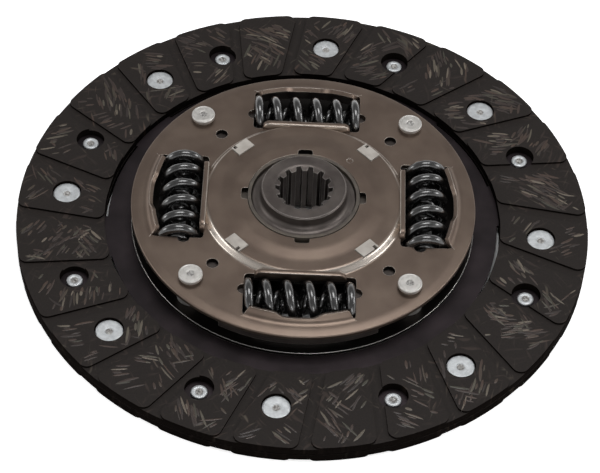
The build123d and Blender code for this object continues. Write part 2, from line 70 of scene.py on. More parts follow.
# %% Colours and nodes
def linear(hex_colour):
    """An sRGB hex colour as linear red, green, blue and alpha."""
    parts = np.array([int(hex_colour[i:i + 2], 16) for i in (1, 3, 5)]) / 255
    light = np.where(parts <= 0.04045, parts / 12.92, ((parts + 0.055) / 1.055) ** 2.4)
    return (*light.tolist(), 1.0)


def connect(node, inputs):
    """Gives a node's sockets numbers or sources.

    A source is another node's socket, or that node itself for its first output.
    """
    for socket, given in inputs.items():
        if isinstance(given, bpy.types.Node):
            given = given.outputs[0]
        if isinstance(given, bpy.types.NodeSocket):
            node.id_data.links.new(given, node.inputs[socket])
        else:
            node.inputs[socket].default_value = given


def add_node(tree, kind, inputs=None, **settings):
    """Adds a node with its properties, and connects its inputs."""
    node = tree.nodes.new("ShaderNode" + kind)
    for name, setting in settings.items():
        setattr(node, name, setting)
    connect(node, inputs or {})
    return node


def new_material(name, **sockets):
    """A material with a plain shader, whose sockets take the given values."""
    material = bpy.data.materials.new(name)
    material.use_nodes = True
    shader = material.node_tree.nodes["Principled BSDF"]
    connect(shader, {socket.replace("_", " "): value for socket, value in sockets.items()})
    return material, material.node_tree, shader


# %% [markdown]
# Every new piece is a set of points worked out with numpy. A grid of points becomes quads,
# and a grid that closes on itself gets one more row or column of quads that joins its ends.

# %% Meshes from grids of points
def grid_quads(rows, columns, close_rows=False, close_columns=False):
    """The quads of a grid of points, numbered row by row."""
    index = np.arange(rows * columns).reshape(rows, columns)
    if close_rows:
        index = np.vstack([index, index[:1]])
    if close_columns:
        index = np.hstack([index, index[:, :1]])
    corners = [index[:-1, :-1], index[:-1, 1:], index[1:, 1:], index[1:, :-1]]
    return np.stack(corners, axis=-1).reshape(-1, 4)


def new_piece(name, points, faces, smooth_angle=40.0):
    """Puts points in millimetres and their faces into a mesh object, outward and smooth."""
    mesh = bpy.data.meshes.new(name)
    mesh.from_pydata((points * MM).tolist(), [], faces.tolist())
    work = bmesh.new()
    work.from_mesh(mesh)
    bmesh.ops.remove_doubles(work, verts=work.verts, dist=1e-7)
    bmesh.ops.recalc_face_normals(work, faces=work.faces)
    work.to_mesh(mesh)
    work.free()
    mesh.shade_smooth()
    mesh.set_sharp_from_angle(angle=math.radians(smooth_angle))
    piece = bpy.data.objects.new(name, mesh)
    scene.collection.objects.link(piece)
    return piece


def settle(piece, material, body, slot, *nodes):
    """Gives a piece its material and body, and hides the solids it stands for. The slot is not
    used.
    """
    piece.data.materials.clear()
    piece.data.materials.append(material)
    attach(piece, body)
    if nodes:
        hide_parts(*nodes)
    print(piece.name, "has", len(piece.data.polygons), "faces")
    return piece


def turned(points, angle_deg):
    """Points turned about the disc's axis, counter-clockwise from above."""
    c, s = math.cos(math.radians(angle_deg)), math.sin(math.radians(angle_deg))
    return points @ np.array([[c, s, 0], [-s, c, 0], [0, 0, 1]])


def lathe(profile, sides):
    """Points and quads of a profile of radius and height, turned about Z."""
    profile = np.array(profile, float)
    turn = np.linspace(0, 2 * np.pi, sides, endpoint=False)
    radius, height = profile[:, :1], profile[:, 1:]
    points = np.stack(
        [radius * np.cos(turn), radius * np.sin(turn), height + 0 * turn], axis=-1
    )
    return points, grid_quads(len(profile), sides, close_columns=True)


def repeated(parts):
    """Several sets of points and faces as one set."""
    points, faces, offset = [], [], 0
    for some_points, some_faces in parts:
        flat = some_points.reshape(-1, 3)
        points.append(flat)
        faces.append(some_faces + offset)
        offset += len(flat)
    return np.vstack(points), np.vstack(faces)


# %% [markdown]
# ## Sizes
# Heights and radii are read from the solids, so that the pieces fit them. What a box can't
# tell, such as the skew of the grooves or the turns of a coil, is written here once, in
# millimetres and degrees.

# %% Sizes read from the solids, and the ones that are written here
def box_mm(node):
    """A solid's lowest and highest corners in millimetres."""
    low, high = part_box(node)
    return np.array(low) / MM, np.array(high) / MM


front_low, front_high = box_mm("front_facing")
rear_low = box_mm("rear_facing")[0]
spring_low, spring_high = box_mm("damper_spring_1")
inner_low, inner_high = box_mm("inner_spring_1")
rivet_low, rivet_high = box_mm("front_facing_rivets")
pin_low, pin_high = box_mm("stop_pin_1")

FACING_OUTER = front_high[0]
FACING_INNER = 69.3
FRONT_FACE = front_high[2]
MID_PLANE = (FRONT_FACE + rear_low[2]) / 2
GROOVES = 24
GROOVE_WIDTH = 4.0
GROOVE_SKEW = 12.5
GROOVE_RADIUS = 84.0
GROOVE_PHASE = 3.9
GROOVE_REACH = GROOVE_RADIUS * math.sin(math.radians(GROOVE_SKEW))
GROOVE_START = math.radians(GROOVE_PHASE - GROOVE_SKEW)
PAD_STEP = 2 * math.pi / GROOVES
RIVETS = 8
RIVET_CIRCLE = 83.6
FRONT_RIVET_PHASE = -4.2
REAR_RIVET_PHASE = 22.7
NECK_PHASE = (FRONT_RIVET_PHASE + REAR_RIVET_PHASE) / 2
COUNTERBORE = 5.0
WINDOWS = 4
PIN_PHASE = 45.0
SPRING_CIRCLE = (spring_low[0] + spring_high[0]) / 2
SPRING_HEIGHT = (spring_low[2] + spring_high[2]) / 2
SPRING_RADIUS = (spring_high[0] - spring_low[0]) / 2
SPRING_LENGTH = spring_high[1] - spring_low[1]
SPRING_CLOSING_TURNS = 1.1
STEPS_PER_TURN = 44
WIRE_SIDES = 20
print("spring circle", round(SPRING_CIRCLE, 2), "spring length", round(SPRING_LENGTH, 2))

# %% [markdown]
# ## Damper springs
# Each window holds a coil spring of round black wire, with a thinner one inside it that is
# wound the other way, so that their turns can't catch. The end turns lie flat and are ground,
# so the pitch has to grow smoothly from nothing over the first turn. A screw modifier can't
# do that. Here the rise along the axis is the integral of a smooth step, and the wire's round
# section is carried along it. Where the section passes the end plane, it is cut flat there.

# %% The coil as a function of two parameters
def coil_points(radius, wire, turns, closing, length, ground, hand, steps, sides):
    """Points of a coil along Y: a circle of radius wire carried along a helix of radius radius.

    After t turns from the nearer end the rise is P * (c * (s^3 - s^4 / 2) + max(t - c, 0)),
    where c is closing, s is t / c up to 1, and P makes the whole rise fit the length.
    """
    travel = length - 2 * (wire - ground)
    pitch = travel / (turns - closing)
    turn = np.linspace(0, turns, steps)
    from_end = np.minimum(turn, turns - turn)
    share = np.minimum(from_end / closing, 1)
    rise = pitch * (closing * (share**3 - share**4 / 2) + np.maximum(from_end - closing, 0))
    along = np.where(turn < turns / 2, rise - travel / 2, travel / 2 - rise)
    angle = -hand * 2 * np.pi * turn - np.pi / 2
    out = np.stack([np.cos(angle), 0 * angle, np.sin(angle)], axis=-1)
    centre = radius * out + np.stack([0 * along, along, 0 * along], axis=-1)
    tangent = np.gradient(centre, axis=0)
    tangent /= np.linalg.norm(tangent, axis=1, keepdims=True)
    side = np.cross(tangent, out)
    section = np.linspace(0, 2 * np.pi, sides, endpoint=False)
    ring = np.cos(section)[:, None] * out[:, None] + np.sin(section)[:, None] * side[:, None]
    points = centre[:, None] + wire * ring
    caps = np.repeat(centre[[0, -1], None], sides, axis=1)
    points = np.concatenate([caps[:1], points, caps[1:]])
    points[..., 1] = np.clip(points[..., 1], -length / 2, length / 2)
    return points, grid_quads(len(points), sides, close_columns=True)


# %% [markdown]
# The springs can't follow the hub as stiff bodies, because its flange presses on their ends
# when it turns. Here each one rides with the disc and has a mesh of its own.

# %% Wind and place the springs
def spring_piece(name, node, quarter, radius, wire, turns, ground, hand, material):
    """One spring at a window, with a mesh of its own."""
    points, faces = coil_points(
        radius - wire, wire, turns, SPRING_CLOSING_TURNS, SPRING_LENGTH, ground, hand,
        int(turns * STEPS_PER_TURN), WIRE_SIDES,
    )
    placed = points.reshape(-1, 3) + np.array([SPRING_CIRCLE, 0, SPRING_HEIGHT])
    piece = new_piece(name, turned(placed, quarter), faces)
    settle(piece, material, "disc", "spring", node)
    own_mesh(piece)


# %% [markdown]
# Oiled black spring wire: a thin dark oxide under oil. It mirrors the lamps in a clear band
# along each crest and stays black everywhere else, so it is a dark base under a smooth coat.

# %% Black spring wire
def spring_wire():
    """Blackened spring steel wire under a film of oil."""
    material, tree, shader = new_material(
        "blackened_spring_wire", Metallic=0.0, IOR=1.75, Coat_Weight=1.0, Coat_Roughness=0.1
    )
    where = add_node(tree, "TexCoord").outputs["Object"]
    mottle_mm = 2.38
    mottle = add_node(
        tree, "TexNoise", {"Scale": 1 / (mottle_mm * MM), "Detail": 3.0, "Vector": where}
    )
    tone = add_node(
        tree, "Mix", {0: mottle, 6: linear("#0d0c0c"), 7: linear("#1c1a19")}, data_type="RGBA"
    )
    gloss = add_node(tree, "MapRange", {"To Min": 0.2, "To Max": 0.34, "Value": mottle})
    connect(shader, {"Base Color": tone.outputs[2], "Roughness": gloss})
    return material


wire_finish = spring_wire()
INNER_RADIUS = (inner_high[0] - inner_low[0]) / 2
for place in range(WINDOWS):
    spring_piece(
        f"outer_coil_{place + 1}", f"damper_spring_{place + 1}", 90.0 * place,
        SPRING_RADIUS, wire=1.6, turns=6.0, ground=0.5, hand=1, material=wire_finish,
    )
    spring_piece(
        f"inner_coil_{place + 1}", f"inner_spring_{place + 1}", 90.0 * place,
        INNER_RADIUS, wire=0.95, turns=8.0, ground=0.3, hand=-1, material=wire_finish,
    )

# %% [markdown]
# ## Steel that was turned, stamped and forged
# All the metal pieces share one recipe. A fine noise stands for the grain of the finish,
# a coarse one for handling marks and uneven oxide, and the Bevel node finds the sharp edges,
# which are painted brighter: partly wear, where the finish is thin on a used or tumbled piece,
# and partly a painted highlight. The dish's sloping wall gets a painted highlight in the edge
# colour, and is smoother than the flats.

# %% One recipe for metal finishes
DISH_WALL = 34.6
DISH_WALL_REACH = 2.2


def metal(
    name, dark, light, edge, metallic, rough, grain_mm, mark_mm, edge_mm, bump=0.04, wall_highlight=0.0
):
    """A metal with uneven tone, fine grain and edges painted brighter, as wear and painted
    highlight. Sizes are in millimetres.

    wall_highlight is how much the dish's wall takes on the colour of the edges, as a painted
    highlight.
    """
    material, tree, shader = new_material(name, Metallic=metallic)
    where = add_node(tree, "TexCoord").outputs["Object"]
    grain = add_node(
        tree, "TexNoise", {"Scale": 1 / (grain_mm * MM), "Detail": 2.0, "Vector": where}
    )
    marks = add_node(
        tree, "TexNoise", {"Scale": 1 / (mark_mm * MM), "Detail": 5.0, "Vector": where}
    )
    spread = add_node(tree, "MapRange", {"From Min": 0.35, "From Max": 0.65, "Value": marks})
    tone = add_node(
        tree, "Mix", {0: spread, 6: linear(dark), 7: linear(light)}, data_type="RGBA"
    ).outputs[2]
    rounded = add_node(tree, "Bevel", {"Radius": edge_mm * MM}, samples=4)
    flat = add_node(tree, "NewGeometry").outputs["Normal"]
    likeness = add_node(
        tree, "VectorMath", {0: rounded, 1: flat}, operation="DOT_PRODUCT"
    ).outputs["Value"]
    # edges painted lighter: partly wear where the finish is thin, partly a painted highlight
    edge_wear_and_highlight = add_node(tree, "MapRange", {"From Min": 0.99, "From Max": 0.82, "Value": likeness})
    colour = add_node(tree, "Mix", {0: edge_wear_and_highlight, 6: tone, 7: linear(edge)}, data_type="RGBA").outputs[2]
    gloss = add_node(
        tree, "MapRange", {"To Min": rough - 0.07, "To Max": rough + 0.07, "Value": marks}
    )
    # painted highlight: the dish's sloping wall takes the edge colour where it faces up at a slant
    if wall_highlight:
        level = add_node(tree, "SeparateXYZ", {0: flat}).outputs["Z"]
        slope = add_node(
            tree, "MapRange", {"From Min": 0.99, "From Max": 0.8, "To Max": wall_highlight, "Value": level}
        )
        facing_up = add_node(tree, "MapRange", {"From Min": 0.1, "From Max": 0.35, "Value": level})
        place = add_node(
            tree, "VectorMath", {0: where, 1: (1 / MM, 1 / MM, 0.0)}, operation="MULTIPLY"
        )
        radius = add_node(tree, "VectorMath", {0: place}, operation="LENGTH").outputs["Value"]
        on_wall = add_node(
            tree, "Math", {0: radius, 1: DISH_WALL, 2: DISH_WALL_REACH}, operation="COMPARE"
        )
        wall_highlight_share = add_node(tree, "Math", {0: slope, 1: facing_up}, operation="MULTIPLY")
        wall_highlight_share = add_node(tree, "Math", {0: wall_highlight_share, 1: on_wall}, operation="MULTIPLY")
        colour = add_node(
            tree, "Mix", {0: wall_highlight_share, 6: colour, 7: linear(edge)}, data_type="RGBA"
        ).outputs[2]
        gloss = add_node(tree, "Math", {0: wall_highlight_share, 1: -0.16, 2: gloss}, operation="MULTIPLY_ADD")
    relief = add_node(
        tree, "Bump",
        {"Strength": bump, "Distance": grain_mm * MM, "Height": grain, "Normal": rounded},
    )
    connect(shader, {"Base Color": colour, "Roughness": gloss, "Normal": relief})
    return material


# %% [markdown]
# The cover is sheet steel with a bronze-grey conversion coat. The hub is forged and
# phosphated, then machined on its faces. The carrier is blued spring steel. Rivets are zinc
# plated, and the stop pins are bare turned steel. The rear plate is coloured near-black as
# painted shade under the cover. The walls of the vent holes and bore notches are painted dark
# as shade, and so are the middles of the rivet and pin heads, for the shade in their dimples.
# Each line below has three colours, how metallic and how rough it is, and the sizes of its
# grain, marks and edges.

# %% The metals of this disc
cover_steel = metal(
    # the cover's dish wall carries a painted highlight
    "coated_sheet_steel", "#73645a", "#7c6d62", "#ddd4ca", 0.85, 0.38, 0.35, 9.0, 0.3, wall_highlight=0.75
)
hub_steel = metal(
    "phosphated_forged_steel", "#524b48", "#625b57", "#d0cac4", 0.7, 0.42, 0.3, 5.0, 0.3
)
carrier_steel = metal(
    "blued_spring_steel", "#2a2426", "#383033", "#7a7376", 0.7, 0.4, 0.4, 12.0, 0.12
)
rivet_zinc = metal(
    "zinc_plated_rivet", "#c6c9cb", "#dcdfe1", "#f2f3f3", 0.6, 0.45, 0.25, 1.6, 0.2, 0.35
)
pin_bare = metal(
    "bare_turned_steel", "#c3c0bb", "#d5d2ce", "#f2f1ee", 0.7, 0.42, 0.25, 1.4, 0.2, 0.3
)
# the middles of rivet and pin heads are coloured darker as painted shade in their dimples
head_middle_shade = metal(
    "head_middle_painted_shade", "#73706d", "#d4d2cf", "#d9d7d3", 0.5, 0.5, 0.4, 0.7, 0.1, 1.0
)
washer_steel = metal(
    "plain_washer_steel", "#5d5b59", "#6e6c69", "#b5b3af", 0.8, 0.4, 0.3, 6.0, 0.15
)
ring_polyamide = metal(
    "pale_polyamide", "#b3aca4", "#c6c0b8", "#dedad4", 0.0, 0.5, 0.25, 3.0, 0.2
)
# the rear plate is coloured near-black as painted shade under the cover; its near-white edges are
# partly bare steel and partly a painted highlight
shaded_plate_steel = metal(
    "sheet_steel_painted_shade_and_glint", "#1d1a18", "#292523", "#f4f1ec", 0.8, 0.34, 0.35, 9.0, 0.35
)
# the walls of the vent holes and bore notches are coloured dark as painted shade, so the holes read
# black
hole_wall_shade = metal(
    "hole_wall_painted_shade", "#1d1917", "#26211e", "#3a332f", 0.8, 0.5, 0.4, 6.0, 0.15
)
bush_coat = metal(
    "worn_bush_polyamide", "#57504a", "#696158", "#8d857b", 0.2, 0.42, 0.25, 3.0, 0.2
)
print("metal finishes:", len(bpy.data.materials))

# %% [markdown]
# ## Plate, ring and hub solids with smooth curves
# The rear plate, carrier, hub, facings and rings keep the exact form of their solids. A solid
# arrives as loose triangles with flat shading, which would show as facets on round walls. A
# copy gets its points merged and its flat areas joined, and then a Weighted Normal modifier
# keeps large flats flat while the bends shade smoothly.

# %% Smooth copies of solids
SMOOTH_ANGLE = 38.0


def merged_triangles(node):
    """A solid's points with doubles merged, in millimetres, and its triangles."""
    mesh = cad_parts[node].data
    points = np.zeros(len(mesh.vertices) * 3)
    mesh.vertices.foreach_get("co", points)
    corners = np.zeros(len(mesh.loops), int)
    mesh.loops.foreach_get("vertex_index", corners)
    unique, inverse = np.unique(
        np.round(points.reshape(-1, 3) / MM, 4), axis=0, return_inverse=True
    )
    return unique, inverse.reshape(-1)[corners].reshape(-1, 3)


def face_centres(mesh):
    """The middle of every face in millimetres, and its normal."""
    centres, normals = np.zeros((2, len(mesh.polygons) * 3))
    mesh.polygons.foreach_get("center", centres)
    mesh.polygons.foreach_get("normal", normals)
    return centres.reshape(-1, 3) / MM, normals.reshape(-1, 3)


def keep_flats_flat(piece, weight):
    """Marks the sharp edges, and shades the bends smoothly without touching large flats."""
    piece.data.set_sharp_from_angle(angle=math.radians(SMOOTH_ANGLE))
    weighted = piece.modifiers.new("keep_flats_flat", "WEIGHTED_NORMAL")
    weighted.mode = "FACE_AREA"
    weighted.weight = weight
    weighted.keep_sharp = True


def smooth_copy(name, node, material, slot, body="disc"):
    """A copy of a solid with its flat areas joined and its bends shaded smoothly."""
    points, triangles = merged_triangles(node)
    good = (triangles[:, 0] != triangles[:, 1]) & (triangles[:, 1] != triangles[:, 2])
    good &= triangles[:, 0] != triangles[:, 2]
    piece = new_piece(name, points, triangles[good], SMOOTH_ANGLE)
    work = bmesh.new()
    work.from_mesh(piece.data)
    bmesh.ops.dissolve_limit(
        work, angle_limit=math.radians(0.2), verts=work.verts, edges=work.edges
    )
    work.to_mesh(piece.data)
    work.free()
    keep_flats_flat(piece, 100)
    return settle(piece, material, body, slot, node)


# the rear plate takes the painted shade colour
smooth_copy("spring_rear_plate", "rear_plate", shaded_plate_steel, "cover")
smooth_copy("splined_hub", "hub", hub_steel, "hub", body="hub")
smooth_copy("carrier", "cushion_disc", carrier_steel, "cushion")
bush = smooth_copy("front_bush", "front_friction_ring", ring_polyamide, "friction_ring")
bush.data.materials.append(bush_coat)
BUSH_RADIUS = 20.0
inside = np.hypot(*face_centres(bush.data)[0][:, :2].T) < BUSH_RADIUS
bush.data.polygons.foreach_set("material_index", inside.astype(np.int32))
smooth_copy("rear_bush", "rear_friction_ring", ring_polyamide, "friction_ring")
smooth_copy("cone_spring", "disc_spring", washer_steel, "washer")
smooth_copy("flat_washer", "support_washer", washer_steel, "washer")

# %% [markdown]
# ## The cover
# The cover is one pressed sheet. Apart from its windows it is round, so the sheet is a
# profile turned about the axis, with soft bends where the die had its radii. The windows,
# slots and holes are punched through it with Boolean cuts, as a press would do. The lips
# along the windows follow after that, because each has its own bent section.

# %% Rounded corners for outlines and turned profiles
def rounded_profile(corners, steps=4):
    """An open outline of two coordinates whose corners are arcs.

    Each corner is (first, second, rounding). An arc is drawn as a curve that starts and ends
    at the rounding's distance from the corner, with the corner as its control point.
    """
    corners = np.array(corners, float)
    out = [corners[0, :2]]
    for before, here, after in zip(corners, corners[1:], corners[2:]):
        into, away = before[:2] - here[:2], after[:2] - here[:2]
        reach_in = min(here[2], 0.45 * np.hypot(*into))
        reach_out = min(here[2], 0.45 * np.hypot(*away))
        start = here[:2] + into / np.hypot(*into) * reach_in
        end = here[:2] + away / np.hypot(*away) * reach_out
        t = np.linspace(0, 1, steps)[:, None]
        out.extend((1 - t) ** 2 * start + 2 * t * (1 - t) * here[:2] + t**2 * end)
    out.append(corners[-1, :2])
    return np.array(out)


# %% Heights and radii of the cover
PLATE_GAP = 7.6
SHEET = 1.6
PLATE_RADIUS = box_mm("rear_plate")[1][0]
rear_plate_top = box_mm("rear_plate")[1][2]
cover_low = rear_plate_top + PLATE_GAP
cover_top = cover_low + SHEET
dish_top = cover_top + 2.1
crown_top = dish_top + 0.6
BORE = 19.6
DISH = 35.6
WINDOW_HALF = SPRING_LENGTH / 2 + 0.1
WINDOW_INNER = SPRING_CIRCLE - SPRING_RADIUS - 1.0
WINDOW_OUTER = 54.9
VENT_CIRCLE, VENT_RADIUS = 42.5, 2.1
RELIEF_CIRCLE, RELIEF_RADIUS = 40.6, 2.1
NOTCH_RADIUS, NOTCH_HALF = 21.7, 2.6
SLOT_INNER, SLOT_OUTER, SLOT_HALF = 29.15, 33.75, 3.65
PIN_HOLE_RADIUS = 3.05
MARK_CIRCLE, MARK_ANGLE, MARK_RADIUS, MARK_DEPTH = 23.5, 48.0, 1.1, 0.4


def cover_profile():
    """The sheet's closed section: crown, dish, flat and rolled rim, top and then underside."""
    inner = DISH - 1.7
    return rounded_profile([
        (BORE, crown_top - 0.8, 0), (BORE, crown_top, 0.15), (24.2, crown_top, 1.0),
        (28.9, dish_top, 1.0), (inner, dish_top, 0.9), (DISH, cover_top, 0.6),
        (57.0, cover_top, 1.0), (PLATE_RADIUS - 0.02, cover_top - 0.42, 0.5),
        (PLATE_RADIUS - 0.02, cover_low - 0.42, 0.2), (57.0, cover_low, 1.0),
        (DISH - 0.9, cover_low, 0.3), (inner - 0.8, dish_top - SHEET, 0.6),
        (27.0, dish_top - SHEET, 0.3), (26.4, crown_top - SHEET, 0.3),
        (BORE, crown_top - SHEET, 0.15), (BORE, crown_top - 0.8, 0),
    ], 5)


def punch(name, outlines, low, high):
    """A cutter made of upright prisms, one for each outline of X and Y."""
    points, faces = [], []
    for outline in outlines:
        first, count = len(points), len(outline)
        points += [(x * MM, y * MM, z * MM) for z in (low, high) for x, y in outline]
        near = list(range(first, first + count))
        faces += [near[::-1], [i + count for i in near]]
        faces += [[i, j, j + count, i + count] for i, j in zip(near, near[1:] + near[:1])]
    mesh = bpy.data.meshes.new(name)
    mesh.from_pydata(points, [], faces)
    return bpy.data.objects.new(name, mesh)


def round_outline(x, y, radius, sides=40):
    """A circle as an outline."""
    turn = np.linspace(0, 2 * np.pi, sides, endpoint=False)
    return np.stack([x + radius * np.cos(turn), y + radius * np.sin(turn)], axis=-1)


def on_every_window(outline, phase=0.0):
    """An outline drawn at each of the four windows, or between them."""
    flat = np.column_stack([outline, np.zeros(len(outline))])
    return [turned(flat, phase + 90.0 * k)[:, :2] for k in range(WINDOWS)]


def window_corners():
    """A window's outline, with straight sides and inner edge, and an outer arc."""
    last = math.asin(WINDOW_HALF / WINDOW_OUTER)
    arc = [
        (WINDOW_OUTER * math.cos(a), WINDOW_OUTER * math.sin(a), 0.0)
        for a in np.linspace(-last, last, 13)
    ]
    arc[0] = (*arc[0][:2], 1.6)
    arc[-1] = (*arc[-1][:2], 1.6)
    corners = [(WINDOW_INNER, 0, 0), (WINDOW_INNER, -WINDOW_HALF, 1.6), *arc]
    corners += [(WINDOW_INNER, WINDOW_HALF, 1.6), (WINDOW_INNER, 0, 0)]
    return rounded_profile(corners, 5)[:-1]


# %% Turn the sheet and punch it
def distance_to_copies(points, circle, count, phase):
    """How far points are, seen from above, from the nearest of some places on a circle."""
    step = 2 * np.pi / count
    bearing = np.arctan2(points[:, 1], points[:, 0]) - math.radians(phase)
    bearing = (bearing + step / 2) % step - step / 2
    return np.hypot(np.hypot(points[:, 0], points[:, 1]) - circle, bearing * circle)


def punched(piece, cutter):
    """Cuts a cutter's prisms out of a piece and keeps the result as its mesh."""
    scene.collection.objects.link(cutter)
    cut = piece.modifiers.new("punch", "BOOLEAN")
    cut.operation = "DIFFERENCE"
    cut.solver = "EXACT"
    cut.object = cutter
    graph = bpy.context.evaluated_depsgraph_get()
    mesh = bpy.data.meshes.new_from_object(piece.evaluated_get(graph))
    piece.modifiers.clear()
    piece.data = mesh
    bpy.data.objects.remove(cutter)


sheet_points, sheet_faces = lathe(cover_profile(), 240)
cover = new_piece("spring_cover", sheet_points.reshape(-1, 3), sheet_faces, SMOOTH_ANGLE)
slot = np.array([
    (SLOT_INNER, -SLOT_HALF), (SLOT_OUTER, -SLOT_HALF), (SLOT_OUTER, SLOT_HALF),
    (SLOT_INNER, SLOT_HALF),
])
in_bore = BORE - 2.6
notch = rounded_profile([
    (in_bore, 0, 0), (in_bore, -NOTCH_HALF, 0), (NOTCH_RADIUS, -NOTCH_HALF, 1.2),
    (NOTCH_RADIUS, NOTCH_HALF, 1.2), (in_bore, NOTCH_HALF, 0), (in_bore, 0, 0),
])[:-1]
pin_circle = float(np.hypot(*((pin_low + pin_high) / 2)[:2]))
through = on_every_window(window_corners()) + on_every_window(notch)
for outline in (
    slot,
    round_outline(VENT_CIRCLE, 0, VENT_RADIUS),
    round_outline(pin_circle, 0, PIN_HOLE_RADIUS),
):
    through += on_every_window(outline, PIN_PHASE)
punched(cover, punch("window_punch", through, cover_low - 2, crown_top + 2))
reliefs = []
for side in (-1, 1):
    corner = round_outline(RELIEF_CIRCLE, side * WINDOW_HALF, RELIEF_RADIUS)
    reliefs += on_every_window(corner)
punched(cover, punch("relief_punch", reliefs, cover_low - 2, crown_top + 2))
mark_x, mark_y, _ = turned(np.array([[MARK_CIRCLE, 0.0, 0.0]]), MARK_ANGLE)[0]
mark = round_outline(mark_x, mark_y, MARK_RADIUS)
punched(cover, punch("mark_punch", [mark], crown_top - MARK_DEPTH, crown_top + 2))
keep_flats_flat(cover, 50)
settle(cover, cover_steel, "disc", "cover", "front_cover")
# vent and notch walls get the painted shade colour
cover.data.materials.append(hole_wall_shade)
centres, normals = face_centres(cover.data)
away = np.hypot(centres[:, 0], centres[:, 1])
in_vent = distance_to_copies(centres, VENT_CIRCLE, WINDOWS, PIN_PHASE) < VENT_RADIUS + 0.3
in_notch = (away > BORE + 0.1) & (away < NOTCH_RADIUS + 0.5)
is_wall = np.abs(normals[:, 2]) < 0.3
shaded_hole_wall = is_wall & (in_vent | in_notch)
cover.data.polygons.foreach_set("material_index", shaded_hole_wall.astype(np.int32))

# %% [markdown]
# The outer lip is folded up by 60 degrees, dips in its middle and flows into the flat sheet
# at both ends, where the fold opens. The inner lip is a short upright wall with rounded
# ends. Both keep clear of the spring below them.

# %% Window lips
def smooth_step(value):
    """Rises from 0 to 1 between 0 and 1, level at both ends: 3 t^2 - 2 t^3."""
    value = np.clip(value, 0, 1)
    return 3 * value**2 - 2 * value**3


def outer_lip_points():
    """The folded lip: at a length s along it, a bend of fold(s) times 60 degrees.

    The section runs over the top of the bend out to the tip and back below it. Its straight
    part is cut to a quarter circle at each end.
    """
    root, bend, end = 55.8, 2.4, WINDOW_HALF + 0.9
    fold_run, corner_run, dip_half, dip_run = 2.2, 3.0, 9.5, 4.8
    height, dip_depth = 1.5, 1.45
    s = np.linspace(-end, end, 91)
    fold = smooth_step((end - np.abs(s)) / fold_run)
    rounding = np.sqrt(1 - (1 - np.clip((end - np.abs(s)) / corner_run, 0, 1)) ** 2)
    dip = smooth_step((dip_half - np.abs(s)) / dip_run)
    angle = np.radians(60) * fold
    straight = height * rounding * fold - dip_depth * dip
    rows = []
    for radius, order in ((bend - 0.02, 1), (bend + SHEET, -1)):
        sunk = cover_top + bend - radius - 0.07 * order
        side = [np.stack([root + 0.5 + 0 * s, sunk + 0 * s], axis=-1)]
        for share in np.linspace(0, 1, 8):
            turn = angle * share
            out = root - radius * np.sin(turn)
            up = cover_top + bend - radius * np.cos(turn)
            side.append(np.stack([out, up], axis=-1))
        for share in (0.5, 0.92, 1.0):
            rise = np.stack([-np.cos(angle), np.sin(angle)], axis=-1)
            side.append(side[8] + rise * (straight * share)[:, None])
        rows += side[::order]
    middle = (rows[11] + rows[12]) / 2
    rim = rows[11] + np.stack([-np.cos(angle), np.sin(angle)], axis=-1) * 0.15 * fold[:, None]
    rows[11] = 0.85 * rim + 0.15 * middle
    section = np.stack(rows, axis=1)
    turn = s / root
    out, up = section[..., 0], section[..., 1]
    across, along = np.cos(turn)[:, None], np.sin(turn)[:, None]
    points = np.stack([out * across, out * along, up], axis=-1)
    return points, grid_quads(*points.shape[:2], close_columns=True)


def inner_lip_points():
    """The upright lip: a wall whose top falls in a quarter circle at each end."""
    half, corner, top = 15.6, 2.4, crown_top + 0.02
    s = np.concatenate([
        -half + corner * (1 - np.cos(np.linspace(0, np.pi / 2, 9))),
        np.linspace(-half + corner, half - corner, 15)[1:-1],
        half - corner * (1 - np.cos(np.linspace(np.pi / 2, 0, 9))),
    ])
    over = np.clip((np.abs(s) - (half - corner)) / corner, 0, 1)
    high = top - corner * (1 - np.sqrt(1 - over**2))
    near, far = WINDOW_INNER - 0.25, WINDOW_INNER + SHEET
    section = [
        (near, cover_low + 0.1, 0), (near, 0, 1), (near + 0.1, 0.12, 1), (near + 0.4, 0, 2),
        (far - 0.45, 0, 2), (far - 0.12, 0.12, 1), (far, 0.45, 1), (far - 0.02, cover_top + 0.2, 0),
        (far - 0.25, cover_top - 0.2, 0), (far - 0.7, cover_low + 0.3, 0),
    ]
    rows = []
    for out, level, kind in section:
        if kind == 0:
            height = level + 0 * s
        else:
            height = high - level - (0.3 if kind == 1 and level == 0 else 0)
        height = np.maximum(height, cover_low + 0.1)
        rows.append(np.stack([out + 0 * s, s, height], axis=-1))
    points = np.stack(rows, axis=1)
    centre = np.repeat(points[[0, -1]].mean(axis=1, keepdims=True), points.shape[1], axis=1)
    points = np.concatenate([centre[:1], points, centre[1:]])
    return points, grid_quads(*points.shape[:2], close_columns=True)


lip_shapes = {"outer": outer_lip_points(), "inner": inner_lip_points()}
for name, (lip_points, lip_faces) in lip_shapes.items():
    flat = lip_points.reshape(-1, 3)
    lips = [(turned(flat, 90.0 * k), lip_faces) for k in range(WINDOWS)]
    piece = new_piece(f"{name}_window_lips", *repeated(lips), 50.0)
    settle(piece, cover_steel, "disc", "cover")

# %% [markdown]
# ## Rivets and stop pins
# A rivet is cold-headed wire: a flat head with a small dimple, a shank, and a tail that a
# tool rolls outward. Its whole form is a profile turned about its own axis, so a lathe
# function of two parameters makes it exactly, with soft edges that a chamfer only hints at.

